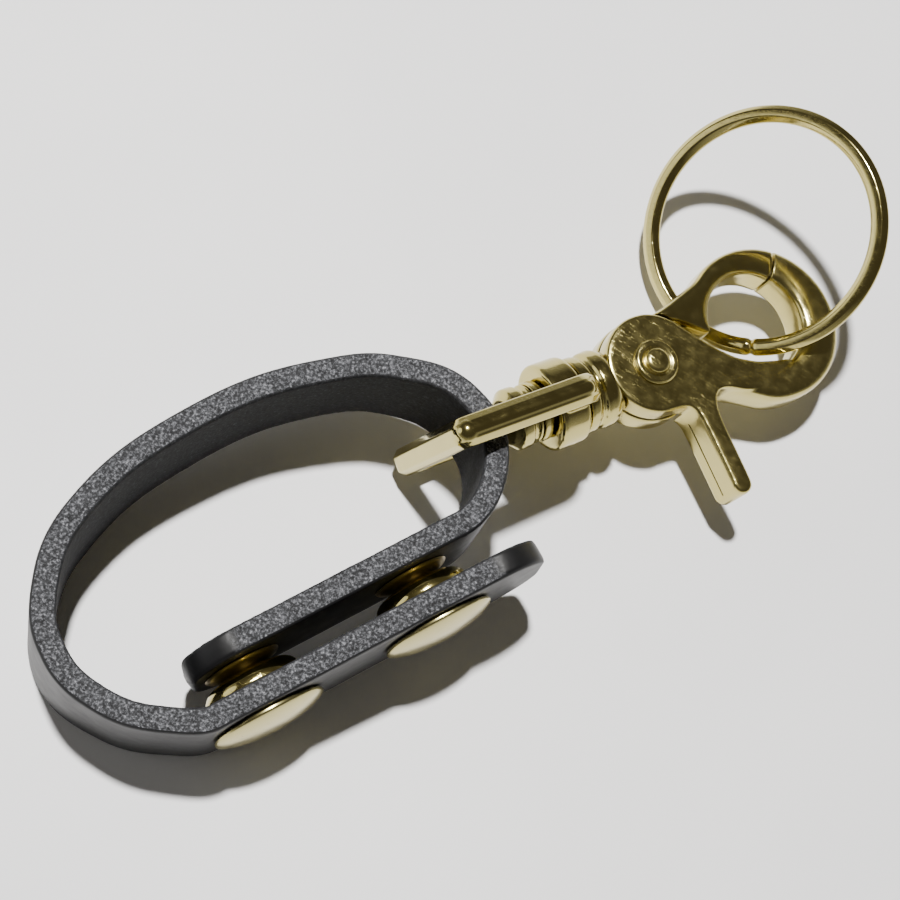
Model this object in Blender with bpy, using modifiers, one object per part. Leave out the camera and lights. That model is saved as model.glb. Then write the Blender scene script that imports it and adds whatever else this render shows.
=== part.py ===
"""Wristlet keychain: leather strap with ring snaps, a strap eye, a lever snap hook and a key ring.

World frame: metres, +Z up, table at z = 0, the near side of the strap toward -Y.
"""
import bpy
import bmesh
import math
from mathutils import Matrix, Vector

for old in list(bpy.data.objects):
    bpy.data.objects.remove(old, do_unlink=True)

MM = 0.001
CENTRE = (1.35, 1.70, 0.0)

# ---------------------------------------------------------------- strap (mm)
STRAP_WIDTH = 13.6
STRAP_THICKNESS = 2.7
STRAP_EDGE_BEVEL = 0.35
STRAP_END_ROUND = 6.0
STRAP_BASE = 0.07
SPLIT_AT = 98.0
SPLIT_GAP = 0.3
LIFT_SLOPE = 0.1057
LIFT_FROM = (-30.6, -33.0)
LIFT_TOWARD = (0.80, 0.60)
TAIL_ANGLE = math.radians(56.6)
TAIL_SPACING = 5.95
SNAP_FIRST = (-4.5, -38.6)
SNAP_PITCH = 20.1

# ---------------------------------------------------------------- ring snaps (mm)
CAP_RADIUS = 6.3
CAP_DOME = 1.35
CAP_RIM = 0.45
DOME_STEPS = 5
SHANK_RADIUS = 1.5
LEATHER_HOLE_RADIUS = 1.85
SOCKET_RADIUS = 5.5
SOCKET_DEPTH = 1.75
SOCKET_MOUTH_RADIUS = 3.25
SOCKET_LIP = 3.6
STUD_RADIUS = 4.3
STUD_KNOB_RADIUS = 2.45
STUD_BORE_RADIUS = 1.45
POST_RADIUS = 4.6
POST_SHANK_RADIUS = 1.15
SPRING_RADIUS = 2.82
SPRING_WIRE = 0.17
SEAT_GAP = 0.2

# ---------------------------------------------------------------- hook frame (mm, degrees)
RIVET_AT = (15.43, 16.71, 9.3)
HOOK_HEADING = math.radians(52.6)
HOOK_PITCH = math.radians(6.0)
HOOK_ROLL = math.radians(4.0)

# ---------------------------------------------------------------- strap eye (mm)
BOSS_AT = -12.6
EYE_LEAN = math.radians(8.3)
EYE_HALF_HEIGHT = 10.6
EYE_BAR = 2.6
EYE_FAR = -17.0
EYE_NEAR = 1.9
EYE_FAR_BAR = 2.2
EYE_NEAR_BAR = 3.8
EYE_DEPTH = 3.3
EYE_NEAR_CORNER = 3.4
EYE_FAR_CORNER = 1.6
EYE_CHAMFER = 0.55
BOSS_RADIUS = 5.1
SWIVEL_BORE = 2.25

# ---------------------------------------------------------------- swivel stud (mm)
STUD_SHAFT_RADIUS = 1.95
STUD_HEAD_RADIUS = 3.6
WASHER_RADIUS = 3.5
WASHER_THICKNESS = 1.1

# ---------------------------------------------------------------- hook (mm)
DISC_RADIUS = 6.05
BODY_DISC_RADIUS = 6.2
FACE_TOP = 3.05
FACE_SPLIT = 0.45
BODY_BOTTOM = -3.2
JAW_HALF = 2.6
RUN_GAP = 0.3
NECK_RADIUS = 4.5
NECK_END = -10.3
LOOP_CENTRE = (16.4, 0.15)
LOOP_RADIUS = 9.75
EYE_CENTRE = (15.3, 0.75)
EYE_RADIUS = 6.1
SEAM_OUTER = math.radians(56.0)
SEAM_INNER = math.radians(45.0)
SEAM_GAP = 0.25
RIVET_HEAD_RADIUS = 2.75
RIVET_SHAFT_RADIUS = 1.4
COIL_RADIUS = 3.4
COIL_WIRE = 0.28
COIL_TURNS = 2.0
COIL_POCKET_OUTER = 4.2
COIL_POCKET_INNER = 2.5
COIL_POCKET_DEPTH = 1.3

# ---------------------------------------------------------------- key ring (mm)
RING_OUTER = 15.0
RING_BAND = 2.1
RING_DEPTH = 1.7
RING_CHAMFER = 0.55
RING_AT = (19.99, 39.15, 12.33)
RING_TILT = math.radians(40.8)
RING_AZIMUTH = math.radians(-128.5)
RING_STEPS = 56

BRASS = (0.78, 0.60, 0.26)
LEATHER = (0.03, 0.03, 0.032)
STEEL = (0.55, 0.55, 0.56)
ROUND_STEPS = 24
DISC_STEPS = 32
BORE_STEPS = 20
CUT_MARGIN = 2.0

# moves the middle of the whole object's base to the origin
TO_CENTRE = Matrix.Translation(-Vector(CENTRE) * MM)

parts = bpy.data.collections.new("wristlet_keychain")
cutters = bpy.data.collections.new("cutters")
bpy.context.scene.collection.children.link(parts)
bpy.context.scene.collection.children.link(cutters)


def material(name, colour, metallic, roughness):
    mat = bpy.data.materials.new("mat_" + name)
    mat.use_nodes = True
    shader = mat.node_tree.nodes["Principled BSDF"]
    shader.inputs["Base Color"].default_value = (*colour, 1.0)
    shader.inputs["Metallic"].default_value = metallic
    shader.inputs["Roughness"].default_value = roughness
    return mat


def place(name, mesh, frame, colour, metallic=1.0, roughness=0.2):
    """A visible sub-part whose mesh is given in its own frame."""
    obj = bpy.data.objects.new(name, mesh)
    parts.objects.link(obj)
    obj.matrix_world = TO_CENTRE @ frame
    mesh.materials.clear()
    mesh.materials.append(material(name, colour, metallic, roughness))
    mesh.shade_smooth()
    return obj


def cutter(name, mesh, frame):
    obj = bpy.data.objects.new(name, mesh)
    cutters.objects.link(obj)
    obj.matrix_world = TO_CENTRE @ frame
    obj.hide_render = True
    obj.display_type = "WIRE"
    return obj


def boolean(obj, tool, operation="DIFFERENCE"):
    mod = obj.modifiers.new(operation.lower() + "_" + tool.name, "BOOLEAN")
    mod.operation = operation
    mod.object = tool
    mod.solver = "EXACT"
    return mod


def bevel(obj, width, segments=2, angle=40.0):
    mod = obj.modifiers.new("edge_bevel", "BEVEL")
    mod.width = width * MM
    mod.segments = segments
    mod.limit_method = "ANGLE"
    mod.angle_limit = math.radians(angle)
    return mod


def curve_mesh(name, curve):
    """Turn a curve data-block into a welded mesh."""
    holder = bpy.data.objects.new(name + "_curve", curve)
    bpy.context.scene.collection.objects.link(holder)
    bpy.context.view_layer.update()
    mesh = bpy.data.meshes.new_from_object(holder)
    bpy.data.objects.remove(holder, do_unlink=True)
    work = bmesh_from(mesh)
    bmesh.ops.remove_doubles(work, verts=work.verts, dist=0.00001)
    bmesh.ops.recalc_face_normals(work, faces=work.faces)
    work.to_mesh(mesh)
    work.free()
    mesh.name = name
    return mesh


def bmesh_from(mesh):
    work = bmesh.new()
    work.from_mesh(mesh)
    return work


def prism(name, outlines, low, high):
    """Filled 2D outlines (mm) extruded from height low to high."""
    curve = bpy.data.curves.new(name, "CURVE")
    curve.dimensions = "2D"
    curve.fill_mode = "BOTH"
    curve.extrude = (high - low) * MM / 2.0
    for outline in outlines:
        spline = curve.splines.new("POLY")
        spline.points.add(len(outline) - 1)
        for point, (x, y) in zip(spline.points, outline):
            point.co = (x * MM, y * MM, 0.0, 1.0)
        spline.use_cyclic_u = True
    mesh = curve_mesh(name, curve)
    mesh.transform(Matrix.Translation((0.0, 0.0, (high + low) * MM / 2.0)))
    return mesh


def lathe(name, profile, steps=ROUND_STEPS):
    """Revolve a closed (radius, height) profile in mm about local Z."""
    work = bmesh.new()
    verts = [work.verts.new((r * MM, 0.0, h * MM)) for r, h in profile]
    edges = []
    for first, second in zip(verts, verts[1:] + verts[:1]):
        if first.co.x > 0.0 or second.co.x > 0.0:
            edges.append(work.edges.new((first, second)))
    bmesh.ops.spin(work, geom=verts + edges, axis=(0.0, 0.0, 1.0), cent=(0.0, 0.0, 0.0),
                   steps=steps, angle=2.0 * math.pi, use_merge=True)
    bmesh.ops.remove_doubles(work, verts=work.verts, dist=0.000005)
    bmesh.ops.recalc_face_normals(work, faces=work.faces)
    mesh = bpy.data.meshes.new(name)
    work.to_mesh(mesh)
    work.free()
    return mesh


def cylinder(name, radius, low, high, steps=ROUND_STEPS):
    return lathe(name, [(0.0, low), (radius, low), (radius, high), (0.0, high)], steps)


def arc(centre, radius, start, end, steps):
    return [(centre[0] + radius * math.cos(start + (end - start) * i / steps),
             centre[1] + radius * math.sin(start + (end - start) * i / steps)) for i in range(steps + 1)]


def on_arc(centre, radius, angle):
    return (centre[0] + radius * math.cos(angle), centre[1] + radius * math.sin(angle))


def shift(x, y, z):
    return Matrix.Translation((x * MM, y * MM, z * MM))


# ================================================================ strap path
def lift(x, y):
    along = (x - LIFT_FROM[0]) * LIFT_TOWARD[0] + (y - LIFT_FROM[1]) * LIFT_TOWARD[1]
    return LIFT_SLOPE * max(0.0, along)


tail = Vector((math.cos(TAIL_ANGLE), math.sin(TAIL_ANGLE)))
outward = Vector((tail.y, -tail.x))
snap_line = Vector(SNAP_FIRST)
inner_line = snap_line - outward * TAIL_SPACING


def tail_point(origin, distance):
    spot = origin + tail * distance
    return (spot.x, spot.y, 0.0, TAIL_ANGLE)


# x, y, lean in degrees and, where the strap is straight, its heading;
# from the inner tail's end round the loop to the outer tail's end
PATH = [
    tail_point(inner_line, -5.8),
    tail_point(inner_line, 0.7),
    tail_point(inner_line, 10.7),
    tail_point(inner_line, 25.6),
    (4.6, -5.1, 0.0, None),
    (-1.2, -0.5, 1.0, None),
    (-8.9, -0.9, 4.0, None),
    (-15.8, -4.9, 4.0, None),
    (-25.6, -16.8, 2.0, None),
    (-30.9, -31.6, 1.0, None),
    (-29.9, -39.3, 2.5, None),
    (-25.6, -45.4, 4.0, None),
    (-18.2, -47.3, 1.0, None),
    (-11.4, -45.7, 0.0, None),
    tail_point(snap_line, -5.4),
    tail_point(snap_line, 10.7),
    tail_point(snap_line, 33.4),
]

path_curve = bpy.data.curves.new("strap_path", "CURVE")
path_curve.dimensions = "3D"
path_curve.twist_mode = "Z_UP"
path_curve.resolution_u = 24
path_curve.use_stretch = False
path_curve.use_deform_bounds = False
path_spline = path_curve.splines.new("BEZIER")
path_spline.bezier_points.add(len(PATH) - 1)
for index, (knot, (px, py, lean, heading)) in enumerate(zip(path_spline.bezier_points, PATH)):
    knot.co = (px * MM, py * MM, (STRAP_BASE + STRAP_WIDTH / 2.0 + lift(px, py)) * MM)
    knot.tilt = -math.radians(lean)
    if heading is None:
        knot.handle_left_type = "AUTO"
        knot.handle_right_type = "AUTO"
        continue
    knot.handle_left_type = "FREE"
    knot.handle_right_type = "FREE"
    for side, neighbour in ((-1.0, max(index - 1, 0)), (1.0, min(index + 1, len(PATH) - 1))):
        reach = side * math.dist(PATH[neighbour][:2], (px, py)) / 3.0
        hx = px + reach * math.cos(heading)
        hy = py + reach * math.sin(heading)
        handle = (hx * MM, hy * MM, (STRAP_BASE + STRAP_WIDTH / 2.0 + lift(hx, hy)) * MM)
        if side < 0.0:
            knot.handle_left = handle
        else:
            knot.handle_right = handle
path_object = bpy.data.objects.new("strap_path", path_curve)
cutters.objects.link(path_object)
path_object.matrix_world = TO_CENTRE
path_object.hide_render = True
path_object.display_type = "WIRE"
bpy.context.view_layer.update()
path_length = path_spline.calc_length() / MM


def end_height(distance):
    """Half height of the strap at a distance from its rounded end."""
    half = STRAP_WIDTH / 2.0
    if distance >= STRAP_END_ROUND:
        return half
    fall = 1.0 - distance / STRAP_END_ROUND
    return half - STRAP_END_ROUND * (1.0 - math.sqrt(max(0.0, 1.0 - fall * fall)))


def strap_piece(name, start, end, round_start, round_end, columns, hinge):
    """A flat leather blank between two path distances, bent along the path."""
    work = bmesh.new()
    rows = 2
    bmesh.ops.create_grid(work, x_segments=columns, y_segments=rows, size=0.5)
    half = STRAP_WIDTH / 2.0
    for vert in work.verts:
        share = vert.co.x + 0.5
        near = 0.5 - 0.5 * math.cos(math.pi * share)
        blend = 0.35 if (round_start or round_end) else 0.0
        share = share * (1.0 - blend) + near * blend
        along = start + (end - start) * share
        reach = half
        if round_start:
            reach = min(reach, end_height(along - start))
        if round_end:
            reach = min(reach, end_height(end - along))
        up = vert.co.y * 2.0 * reach
        vert.co = Vector((along, 0.0, up)) * MM
    bmesh.ops.remove_doubles(work, verts=work.verts, dist=0.00001)
    mesh = bpy.data.meshes.new(name)
    work.to_mesh(mesh)
    work.free()
    mesh.transform(Matrix.Translation(-hinge))
    obj = place(name, mesh, Matrix.Translation(hinge), LEATHER, 0.0, 0.5)
    solid = obj.modifiers.new("leather_thickness", "SOLIDIFY")
    solid.thickness = STRAP_THICKNESS * MM
    solid.offset = 0.0
    bevel(obj, STRAP_EDGE_BEVEL, 1, 50.0)
    bend = obj.modifiers.new("bend_along_path", "CURVE")
    bend.object = path_object
    bend.deform_axis = "POS_X"
    return obj


HINGE_XY = (-31.9, -36.2)
hinge_point = Vector((HINGE_XY[0] * MM, HINGE_XY[1] * MM, STRAP_WIDTH / 2.0 * MM))
strap_loop = strap_piece("strap_loop", 0.0, SPLIT_AT, True, False, 48, Vector((0.0, 0.0, 0.0)))
strap_flap = strap_piece("strap_flap", SPLIT_AT + SPLIT_GAP, path_length, False, True, 36, hinge_point)

# ================================================================ ring snaps
half_t = STRAP_THICKNESS / 2.0
gap_width = TAIL_SPACING - STRAP_THICKNESS
inner_face = -half_t - gap_width
inner_back = inner_face - STRAP_THICKNESS

for index in (1, 2):
    spot = snap_line + tail * (SNAP_PITCH * (index - 1))
    height = STRAP_BASE + STRAP_WIDTH / 2.0 + lift(spot.x, spot.y)
    axis = Vector((outward.x, outward.y, 0.0))
    frame = shift(spot.x, spot.y, height) @ axis.to_track_quat("Z", "Y").to_matrix().to_4x4()
    tag = "_" + str(index)

    for leather, low, high in ((strap_flap, -half_t, half_t), (strap_loop, inner_back, inner_face)):
        hole_name = "hole_" + leather.name + tag
        hole_mesh = cylinder(hole_name, LEATHER_HOLE_RADIUS, low - 1.0, high + 1.0, BORE_STEPS)
        boolean(leather, cutter(hole_name, hole_mesh, frame))

    base = half_t + SEAT_GAP
    shank_end = -half_t - SEAT_GAP - 0.6
    cap_profile = [(0.0, shank_end), (SHANK_RADIUS, shank_end), (SHANK_RADIUS, base),
                   (CAP_RADIUS - 0.25, base),
                   (CAP_RADIUS, base + 0.2), (CAP_RADIUS, base + CAP_RIM)]
    for step in range(1, DOME_STEPS + 1):
        turn = math.radians(90.0) * step / DOME_STEPS
        cap_profile.append((CAP_RADIUS * math.cos(turn) if step < DOME_STEPS else 0.0,
                            base + CAP_RIM + CAP_DOME * math.sin(turn) ** 1.25))
    place("snap_cap" + tag, lathe("snap_cap" + tag, cap_profile, DISC_STEPS), frame, BRASS)

    top = -half_t - SEAT_GAP
    socket_profile = [(SHANK_RADIUS + 0.25, top), (SOCKET_RADIUS - 0.15, top)]
    for step in range(6):
        turn = math.radians(90.0) * step / 5
        socket_profile.append((SOCKET_LIP + (SOCKET_RADIUS - SOCKET_LIP) * math.cos(turn),
                               top - 0.2 - (SOCKET_DEPTH - 0.2) * math.sin(turn)))
    socket_profile += [(SOCKET_MOUTH_RADIUS, top - SOCKET_DEPTH), (SOCKET_MOUTH_RADIUS, top - 0.45),
                       (SHANK_RADIUS + 0.25, top - 0.45)]
    place("snap_socket" + tag, lathe("snap_socket" + tag, socket_profile), frame, BRASS)

    coil = bpy.data.curves.new("snap_spring" + tag, "CURVE")
    coil.dimensions = "3D"
    coil.bevel_depth = SPRING_WIRE * MM
    coil.bevel_resolution = 0
    coil.use_fill_caps = True
    turn_spline = coil.splines.new("POLY")
    turn_steps = 24
    turn_spline.points.add(turn_steps)
    for step, point in enumerate(turn_spline.points):
        angle = math.radians(15.0) + math.radians(330.0) * step / turn_steps
        point.co = (SPRING_RADIUS * math.cos(angle) * MM, SPRING_RADIUS * math.sin(angle) * MM,
                    (top - SOCKET_DEPTH + 0.45) * MM, 1.0)
    place("snap_spring" + tag, curve_mesh("snap_spring" + tag, coil), frame, STEEL, 1.0, 0.3)

    seat = inner_face + SEAT_GAP
    knob_top = seat + 1.85
    stud_profile = [(STUD_BORE_RADIUS, seat), (STUD_RADIUS - 0.15, seat), (STUD_RADIUS, seat + 0.15),
                    (STUD_RADIUS - 0.4, seat + 0.4), (STUD_RADIUS - 1.1, seat + 0.65),
                    (STUD_KNOB_RADIUS + 0.2, seat + 0.8), (STUD_KNOB_RADIUS - 0.2, seat + 1.2),
                    (STUD_KNOB_RADIUS, seat + 1.55), (STUD_KNOB_RADIUS - 0.25, knob_top),
                    (STUD_BORE_RADIUS, knob_top)]
    place("snap_stud" + tag, lathe("snap_stud" + tag, stud_profile), frame, BRASS)

    back = inner_back - SEAT_GAP
    post_profile = [(0.0, seat + 1.5), (POST_SHANK_RADIUS, seat + 1.5), (POST_SHANK_RADIUS, back),
                    (POST_RADIUS, back), (POST_RADIUS, back - 0.12), (POST_RADIUS - 1.2, back - 0.35),
                    (POST_RADIUS - 3.0, back - 0.58), (0.0, back - 0.65)]
    place("snap_post" + tag, lathe("snap_post" + tag, post_profile), frame, BRASS)

# ================================================================ hook frame
hook_frame = (shift(*RIVET_AT) @ Matrix.Rotation(HOOK_HEADING, 4, "Z") @ Matrix.Rotation(HOOK_PITCH, 4, "Y")
              @ Matrix.Rotation(HOOK_ROLL, 4, "X"))
swivel_frame = hook_frame @ shift(BOSS_AT, 0.0, 0.0)
along_axis = Matrix.Rotation(math.radians(90.0), 4, "Y")


def rounded_box_outline(left, right, half, near_round, far_round):
    quarter = math.radians(90.0)
    points = arc((right - near_round, half - near_round), near_round, 0.0, quarter, 6)
    points += arc((left + far_round, half - far_round), far_round, quarter, 2 * quarter, 4)
    points += arc((left + far_round, -half + far_round), far_round, 2 * quarter, 3 * quarter, 4)
    points += arc((right - near_round, -half + near_round), near_round, 3 * quarter, 4 * quarter, 6)
    return points


# ---------------------------------------------------------------- strap eye
eye_frame = swivel_frame @ Matrix.Rotation(EYE_LEAN, 4, "X")
flat_to_eye = Matrix.Rotation(math.radians(90.0), 4, "X")
outer_outline = rounded_box_outline(EYE_FAR, EYE_NEAR, EYE_HALF_HEIGHT, EYE_NEAR_CORNER, EYE_FAR_CORNER)
window = rounded_box_outline(EYE_FAR + EYE_FAR_BAR, EYE_NEAR - EYE_NEAR_BAR, EYE_HALF_HEIGHT - EYE_BAR,
                             0.8, 0.5)
eye_mesh = prism("strap_eye", [outer_outline, window], -EYE_DEPTH / 2.0, EYE_DEPTH / 2.0)
eye_mesh.transform(flat_to_eye)
strap_eye = place("strap_eye", eye_mesh, eye_frame, BRASS)
bevel(strap_eye, EYE_CHAMFER, 2)
boss_mesh = lathe("eye_boss", [(0.0, -1.9), (BOSS_RADIUS - 0.5, -1.9), (BOSS_RADIUS, -1.4),
                               (BOSS_RADIUS, 1.3),
                               (BOSS_RADIUS - 0.6, 1.9), (0.0, 1.9)])
boss_mesh.transform(along_axis)
boolean(strap_eye, cutter("eye_boss", boss_mesh, eye_frame), "UNION")
bore_mesh = cylinder("swivel_bore", SWIVEL_BORE, -4.0, 4.0, BORE_STEPS)
bore_mesh.transform(along_axis)
boolean(strap_eye, cutter("swivel_bore", bore_mesh, eye_frame))

# ---------------------------------------------------------------- swivel stud and washer
boss_half = EYE_NEAR_BAR / 2.0
washer_near = -boss_half - RUN_GAP
washer_far = washer_near - WASHER_THICKNESS
head_near = washer_far - 0.2
stud_profile = [(0.0, head_near - 3.3), (STUD_HEAD_RADIUS - 0.9, head_near - 3.3),
                (STUD_HEAD_RADIUS, head_near - 2.5),
                (STUD_HEAD_RADIUS, head_near - 1.2), (STUD_HEAD_RADIUS - 0.55, head_near - 0.95),
                (STUD_HEAD_RADIUS - 0.55, head_near - 0.5), (STUD_HEAD_RADIUS - 0.2, head_near - 0.25),
                (STUD_HEAD_RADIUS - 0.2, head_near), (STUD_SHAFT_RADIUS, head_near),
                (STUD_SHAFT_RADIUS, 4.6), (0.0, 4.6)]
stud_mesh = lathe("swivel_stud", stud_profile)
stud_mesh.transform(along_axis)
place("swivel_stud", stud_mesh, swivel_frame, BRASS)
washer_mesh = lathe("swivel_washer", [(STUD_SHAFT_RADIUS + 0.2, washer_far),
                                      (WASHER_RADIUS - 0.2, washer_far),
                                      (WASHER_RADIUS, washer_far + 0.2),
                                      (WASHER_RADIUS, washer_near - 0.2),
                                      (WASHER_RADIUS - 0.2, washer_near),
                                      (STUD_SHAFT_RADIUS + 0.2, washer_near)])
washer_mesh.transform(along_axis)
place("swivel_washer", washer_mesh, swivel_frame, BRASS)

# ---------------------------------------------------------------- hook body
seam_out = on_arc(LOOP_CENTRE, LOOP_RADIUS, SEAM_OUTER)
seam_in = on_arc(EYE_CENTRE, EYE_RADIUS, SEAM_INNER)
jaw_outline = arc(LOOP_CENTRE, LOOP_RADIUS, SEAM_OUTER, math.radians(128.0), 10)
jaw_outline += [(5.0, 6.2), (1.0, 5.2), (1.6, 3.6), (5.2, 4.2), (9.2, 0.9)]
jaw_outline += arc(EYE_CENTRE, EYE_RADIUS, math.radians(172.0), SEAM_INNER, 12)
to_body = swivel_frame.inverted() @ hook_frame

body_top = FACE_SPLIT - RUN_GAP
body_mesh = cylinder("hook_body", BODY_DISC_RADIUS, BODY_BOTTOM, body_top, DISC_STEPS)
body_mesh.transform(to_body)
hook_body = place("hook_body", body_mesh, swivel_frame, BRASS)
bevel(hook_body, 0.5, 2)

jaw_mesh = prism("body_jaw", [jaw_outline], -JAW_HALF, JAW_HALF)
jaw = cutter("body_jaw", jaw_mesh, hook_frame)
clear_mesh = cylinder("body_disc_clear", DISC_RADIUS + 0.4, body_top - 0.06, FACE_TOP + CUT_MARGIN,
                      DISC_STEPS)
clear_disc = cutter("body_disc_clear", clear_mesh, hook_frame)
bevel(jaw, 0.9, 2, 50.0)
boolean(jaw, clear_disc)
boolean(hook_body, jaw, "UNION")

neck_profile = [(0.0, NECK_END), (NECK_RADIUS - 0.5, NECK_END), (NECK_RADIUS, NECK_END + 0.5),
                (NECK_RADIUS, -9.0),
                (NECK_RADIUS - 0.45, -8.7), (NECK_RADIUS - 0.45, -8.3), (NECK_RADIUS, -8.0),
                (NECK_RADIUS + 0.1, -6.7),
                (2.4, -2.2), (0.0, -2.2)]
neck_mesh = lathe("body_neck", neck_profile)
neck_mesh.transform(along_axis)
neck = cutter("body_neck", neck_mesh, hook_frame)
clear_mesh = cylinder("neck_disc_clear", DISC_RADIUS + 0.43, body_top - 0.11, FACE_TOP + 2 * CUT_MARGIN,
                      DISC_STEPS)
neck_clear = cutter("neck_disc_clear", clear_mesh, hook_frame)
boolean(neck, neck_clear)
boolean(hook_body, neck, "UNION")
stud_bore = cylinder("stud_bore", STUD_SHAFT_RADIUS + 0.1, NECK_END - 1.0, BOSS_AT + 4.6 + 0.2,
                     BORE_STEPS)
stud_bore.transform(along_axis)
boolean(hook_body, cutter("stud_bore", stud_bore, hook_frame))
rivet_bore = cutter("rivet_bore", cylinder("rivet_bore", RIVET_SHAFT_RADIUS + 0.2, -6.0, 6.0,
                                           BORE_STEPS + 2), hook_frame)
boolean(hook_body, rivet_bore)
pocket_floor = body_top - COIL_POCKET_DEPTH
pocket = [(COIL_POCKET_INNER, pocket_floor), (COIL_POCKET_OUTER, pocket_floor),
          (COIL_POCKET_OUTER, FACE_SPLIT), (COIL_POCKET_INNER, FACE_SPLIT)]
boolean(hook_body, cutter("coil_pocket", lathe("coil_pocket", pocket, BORE_STEPS + 6), hook_frame))

# ---------------------------------------------------------------- moving jaw with thumb lever
seam_step = Vector((seam_out[0] - seam_in[0], seam_out[1] - seam_in[1])).normalized()
seam_side = Vector((seam_step.y, -seam_step.x)) * SEAM_GAP
lever_outline = [(seam_in[0] + seam_side.x, seam_in[1] + seam_side.y),
                 (seam_out[0] + seam_side.x, seam_out[1] + seam_side.y)]
lever_outline += arc(LOOP_CENTRE, LOOP_RADIUS, SEAM_OUTER - math.radians(8.0), math.radians(-112.0), 18)
lever_outline += [(9.6, -6.9), (7.6, -5.7), (6.5, -5.5), (5.6, -6.1), (5.05, -7.4), (4.85, -9.5),
                  (4.85, -15.8)]
lever_outline += arc((3.55, -16.6), 1.25, math.radians(15.0), math.radians(-195.0), 8)
lever_outline += [(2.4, -9.5), (2.35, -7.4), (1.9, -6.3), (0.9, -5.98)]
lever_outline += arc((0.0, 0.0), DISC_RADIUS, math.radians(-105.0), math.radians(-322.0), 22)
lever_outline += [(6.3, 1.7), (8.4, -1.1), (10.2, -3.1)]
lever_outline += arc(EYE_CENTRE, EYE_RADIUS, math.radians(-125.0), SEAM_INNER - math.radians(5.0), 16)
lever_mesh = prism("hook_lever", [lever_outline], -JAW_HALF, FACE_TOP)
hook_lever = place("hook_lever", lever_mesh, hook_frame, BRASS)
bevel(hook_lever, 0.55, 2, 50.0)
under = cylinder("lever_under", BODY_DISC_RADIUS + 0.4, -JAW_HALF - CUT_MARGIN, FACE_SPLIT, DISC_STEPS)
boolean(hook_lever, cutter("lever_under", under, hook_frame))
boolean(hook_lever, rivet_bore)

# ---------------------------------------------------------------- pivot rivet
rivet_low = BODY_BOTTOM - RUN_GAP
rivet_high = FACE_TOP + SEAT_GAP
rivet_profile = [(0.0, rivet_low - 0.6), (RIVET_HEAD_RADIUS - 0.5, rivet_low - 0.6),
                 (RIVET_HEAD_RADIUS, rivet_low - 0.25),
                 (RIVET_HEAD_RADIUS, rivet_low), (RIVET_SHAFT_RADIUS, rivet_low),
                 (RIVET_SHAFT_RADIUS, rivet_high),
                 (RIVET_HEAD_RADIUS, rivet_high), (RIVET_HEAD_RADIUS, rivet_high + 0.15),
                 (RIVET_HEAD_RADIUS - 0.35, rivet_high + 0.4), (1.75, rivet_high + 0.25),
                 (1.45, rivet_high + 0.55),
                 (1.2, rivet_high + 0.7), (0.0, rivet_high + 0.7)]
place("pivot_rivet", lathe("pivot_rivet", rivet_profile), hook_frame, BRASS)

# ---------------------------------------------------------------- torsion spring
wire = bpy.data.curves.new("torsion_spring", "CURVE")
wire.dimensions = "3D"
wire.bevel_depth = COIL_WIRE * MM
wire.bevel_resolution = 0
wire.use_fill_caps = True
helix = wire.splines.new("POLY")
helix_steps = 40
helix.points.add(helix_steps)
coil_low = pocket_floor + COIL_WIRE + 0.08
coil_high = FACE_SPLIT - COIL_WIRE - 0.35
for step, point in enumerate(helix.points):
    share = step / helix_steps
    angle = 2.0 * math.pi * COIL_TURNS * share
    point.co = (COIL_RADIUS * math.cos(angle) * MM, COIL_RADIUS * math.sin(angle) * MM,
                (coil_low + (coil_high - coil_low) * share) * MM, 1.0)
place("torsion_spring", curve_mesh("torsion_spring", wire), hook_frame, STEEL, 1.0, 0.35)

# ---------------------------------------------------------------- key ring
ring_in = RING_OUTER - RING_BAND
half_d = RING_DEPTH / 2.0
ring_profile = [(ring_in, -half_d + RING_CHAMFER), (ring_in + RING_CHAMFER, -half_d),
                (RING_OUTER - RING_CHAMFER, -half_d),
                (RING_OUTER, -half_d + RING_CHAMFER), (RING_OUTER, half_d - RING_CHAMFER),
                (RING_OUTER - RING_CHAMFER, half_d), (ring_in + RING_CHAMFER, half_d),
                (ring_in, half_d - RING_CHAMFER)]
ring_turn = Matrix.Rotation(RING_AZIMUTH, 4, "Z") @ Matrix.Rotation(RING_TILT, 4, "Y")
ring_frame = shift(*RING_AT) @ ring_turn
place("key_ring", lathe("key_ring", ring_profile, RING_STEPS), ring_frame, BRASS)
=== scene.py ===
import math

import bmesh
import bpy
from mathutils import Matrix, Vector, geometry, noise


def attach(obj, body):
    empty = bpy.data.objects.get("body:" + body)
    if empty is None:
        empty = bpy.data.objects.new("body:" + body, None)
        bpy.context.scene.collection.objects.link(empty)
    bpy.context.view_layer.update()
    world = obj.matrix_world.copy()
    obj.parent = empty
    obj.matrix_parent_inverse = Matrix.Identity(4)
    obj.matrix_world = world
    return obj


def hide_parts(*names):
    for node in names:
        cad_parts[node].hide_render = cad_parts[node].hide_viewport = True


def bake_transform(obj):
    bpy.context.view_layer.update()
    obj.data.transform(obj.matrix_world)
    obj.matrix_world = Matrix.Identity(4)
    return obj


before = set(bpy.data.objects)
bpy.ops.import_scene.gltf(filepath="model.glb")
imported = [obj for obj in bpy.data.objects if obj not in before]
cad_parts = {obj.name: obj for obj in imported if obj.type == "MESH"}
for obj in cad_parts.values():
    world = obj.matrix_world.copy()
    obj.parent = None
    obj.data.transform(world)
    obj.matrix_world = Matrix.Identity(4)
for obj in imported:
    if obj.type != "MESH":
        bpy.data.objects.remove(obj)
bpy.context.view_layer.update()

MM = 0.001
CENTRE = Vector((1.35, 1.70, 0.0))

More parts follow.
